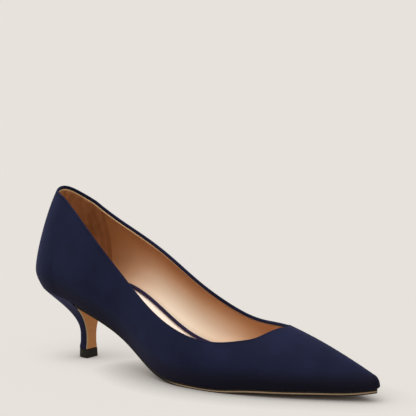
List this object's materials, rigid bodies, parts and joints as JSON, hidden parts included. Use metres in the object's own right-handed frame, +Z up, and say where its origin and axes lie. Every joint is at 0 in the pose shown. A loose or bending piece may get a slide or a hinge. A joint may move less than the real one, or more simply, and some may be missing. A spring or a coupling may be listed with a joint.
{
  "type": "pump shoe",
  "caption": "Right-foot women's pump with a pointed toe, a low V-shaped topline and a slim curved kitten heel.",
  "frame": {"origin": "centre of the heel tip's flat tread, on the floor", "axes": "+X towards the toe, +Y towards the inner side of the foot, +Z up"},
  "size_m": [0.2663, 0.0754, 0.1136],
  "materials": {
    "upper_fabric": "matte navy weave",
    "sock_leather": "smooth pale leather",
    "piping_fabric": "matte navy cord",
    "sole_leather": "natural tan leather",
    "heel_fabric": "matte navy weave",
    "tip_rubber": "satin black rubber"
  },
  "bodies": {
    "root": {"upper": "upper_fabric", "insole": "sock_leather", "insole_piping": "piping_fabric", "outsole": "sole_leather", "heel": "heel_fabric", "heel_tip": "tip_rubber"}
  },
  "joints": []
}
